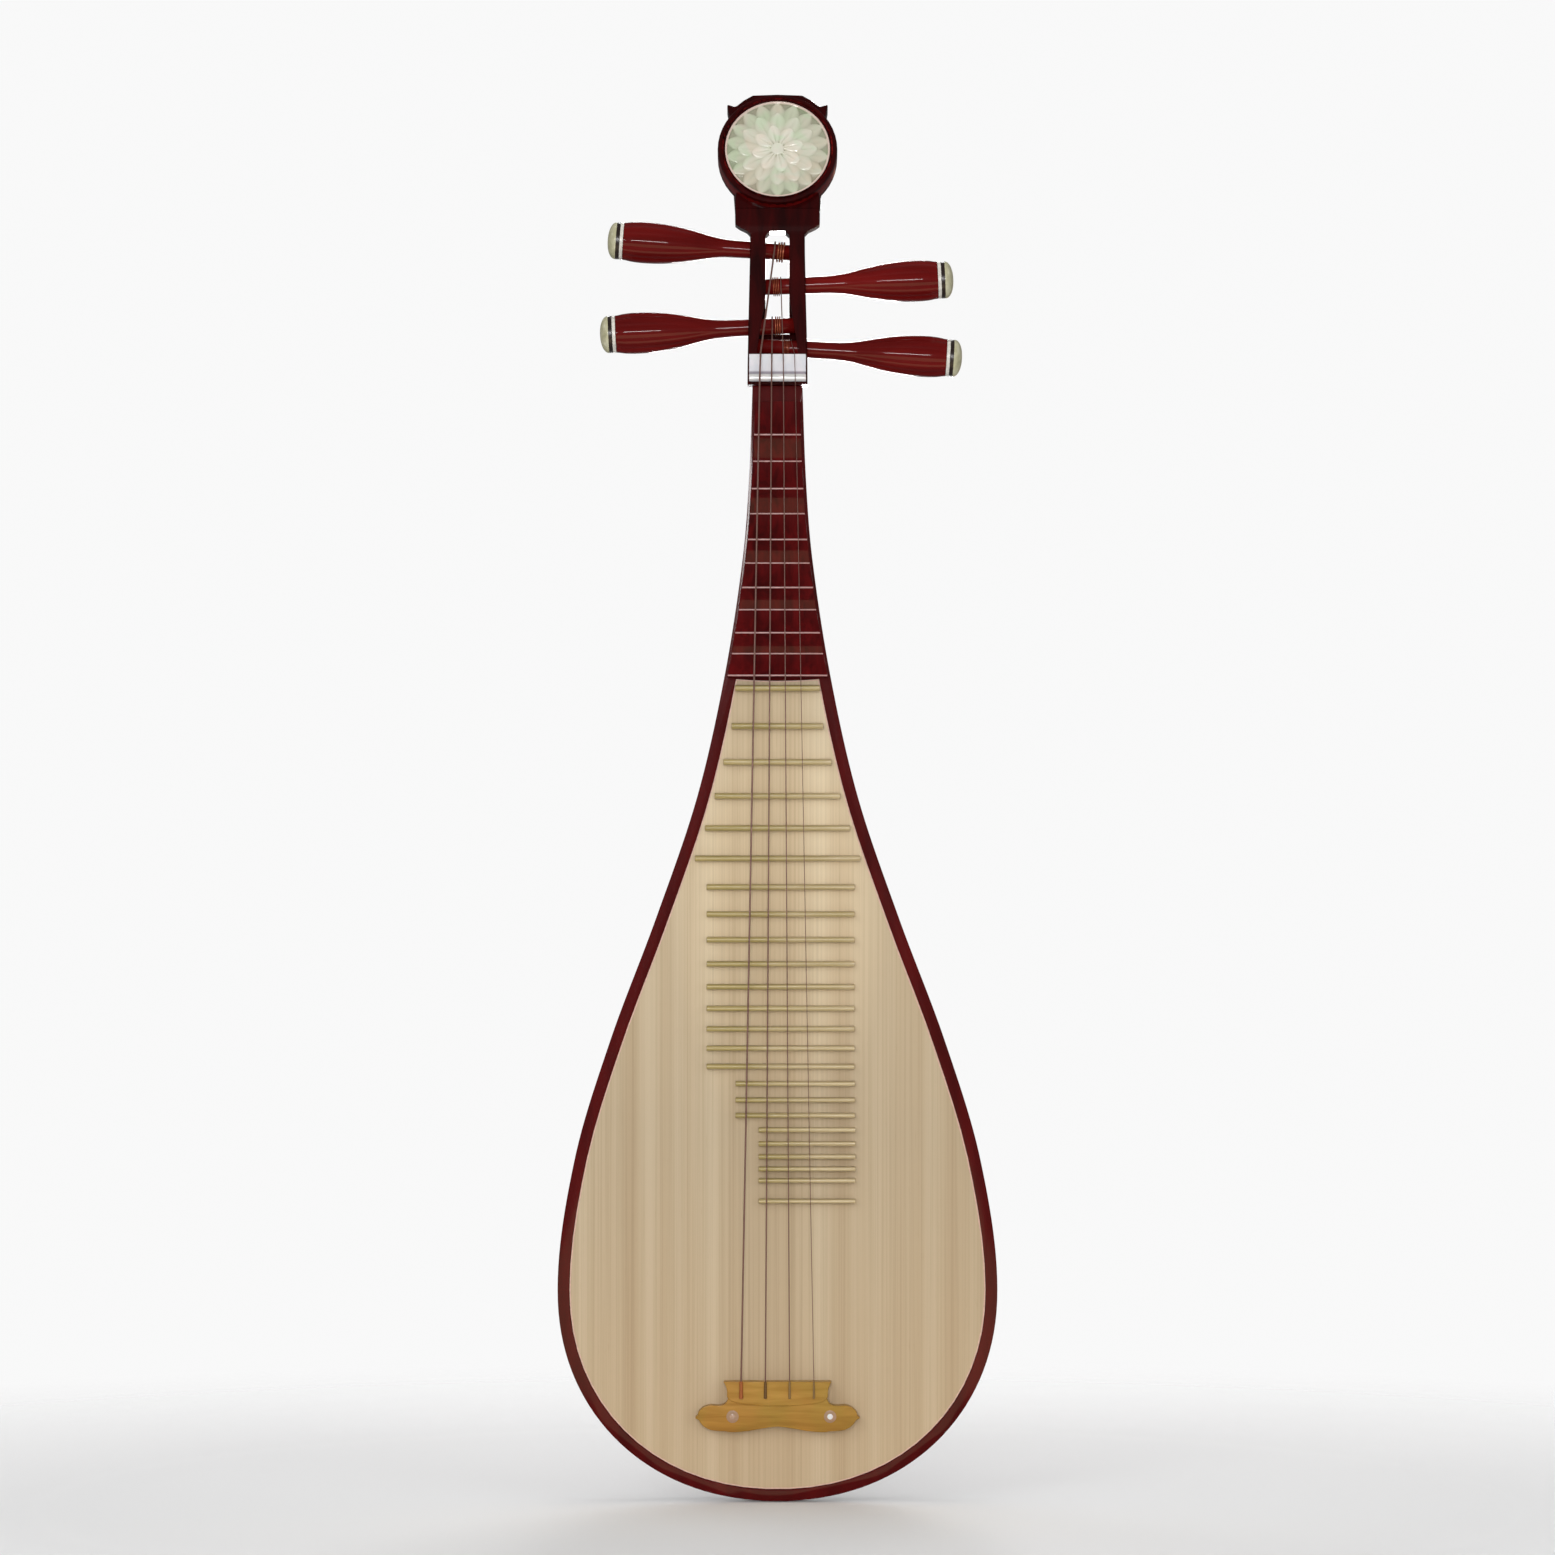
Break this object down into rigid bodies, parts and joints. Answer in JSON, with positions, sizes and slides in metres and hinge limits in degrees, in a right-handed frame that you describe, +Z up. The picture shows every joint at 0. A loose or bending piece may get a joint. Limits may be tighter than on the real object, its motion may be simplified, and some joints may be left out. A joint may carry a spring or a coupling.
{
  "type": "chinese lute",
  "caption": "Upright pear-shaped plucked lute with red lacquered back, pale soundboard, wedge frets on the neck, bamboo frets, bridge, strings and turning side pegs.",
  "frame": {"origin": "lowest point of the tail, in the plane of the soundboard's face", "axes": "+Z up along the neck, +X to the viewer's right, the soundboard faces -Y"},
  "size_m": [0.3136, 0.1005, 1.0101],
  "materials": {
    "lacquer": "deep red gloss lacquer over straight-grained wood",
    "soundboard_wood": "satin, straight vertical grain",
    "inner_wood": "raw sawn",
    "bamboo": "satin",
    "bridge_wood": "satin",
    "bone": "polished bone look",
    "nut_bone": "polished white",
    "string": "wound string"
  },
  "bodies": {
    "root": {"back_shell": "lacquer", "pegbox": "lacquer", "head_block": "lacquer", "neck_fret_1": "lacquer", "neck_fret_2": "lacquer", "neck_fret_3": "lacquer", "neck_fret_4": "lacquer", "neck_fret_5": "lacquer", "neck_fret_6": "lacquer", "soundboard": "soundboard_wood", "soundboard_bar_lower": "inner_wood", "soundboard_bar_upper": "inner_wood", "sound_post_left": "inner_wood", "sound_post_right": "inner_wood", "sound_post_upper": "inner_wood", "board_fret_01": "bamboo", "board_fret_02": "bamboo", "board_fret_03": "bamboo", "board_fret_04": "bamboo", "board_fret_05": "bamboo", "board_fret_06": "bamboo", "board_fret_07": "bamboo", "board_fret_08": "bamboo", "board_fret_09": "bamboo", "board_fret_10": "bamboo", "board_fret_11": "bamboo", "board_fret_12": "bamboo", "board_fret_13": "bamboo", "board_fret_14": "bamboo", "board_fret_15": "bamboo", "board_fret_16": "bamboo", "board_fret_17": "bamboo", "board_fret_18": "bamboo", "board_fret_19": "bamboo", "board_fret_20": "bamboo", "board_fret_21": "bamboo", "board_fret_22": "bamboo", "board_fret_23": "bamboo", "board_fret_24": "bamboo", "bridge": "bridge_wood", "neck_back_plate": "bone", "head_disc": "bone", "nut": "nut_bone", "string_1": "string", "string_2": "string", "string_3": "string", "string_4": "string"},
    "peg_1": {"peg_1": "lacquer", "peg_1_cap": "bone", "peg_1_winding": "string"},
    "peg_2": {"peg_2": "lacquer", "peg_2_cap": "bone", "peg_2_winding": "string"},
    "peg_3": {"peg_3": "lacquer", "peg_3_cap": "bone", "peg_3_winding": "string"},
    "peg_4": {"peg_4": "lacquer", "peg_4_cap": "bone", "peg_4_winding": "string"}
  },
  "joints": [
    {"name": "peg_1_turn", "type": "hinge", "parent": "root", "child": "peg_1", "pos_m": [0, 0.02678, 0.8926], "axis": [-0.9976, 0, 0.0698], "continuous": true},
    {"name": "peg_2_turn", "type": "hinge", "parent": "root", "child": "peg_2", "pos_m": [0, 0.02045, 0.8673], "axis": [0.9992, 0, 0.0401], "continuous": true},
    {"name": "peg_3_turn", "type": "hinge", "parent": "root", "child": "peg_3", "pos_m": [0, 0.01323, 0.8384], "axis": [-0.9988, 0, -0.0489], "continuous": true},
    {"name": "peg_4_turn", "type": "hinge", "parent": "root", "child": "peg_4", "pos_m": [0, 0.00932, 0.8228], "axis": [0.9982, 0, -0.0593], "continuous": true}
  ]
}
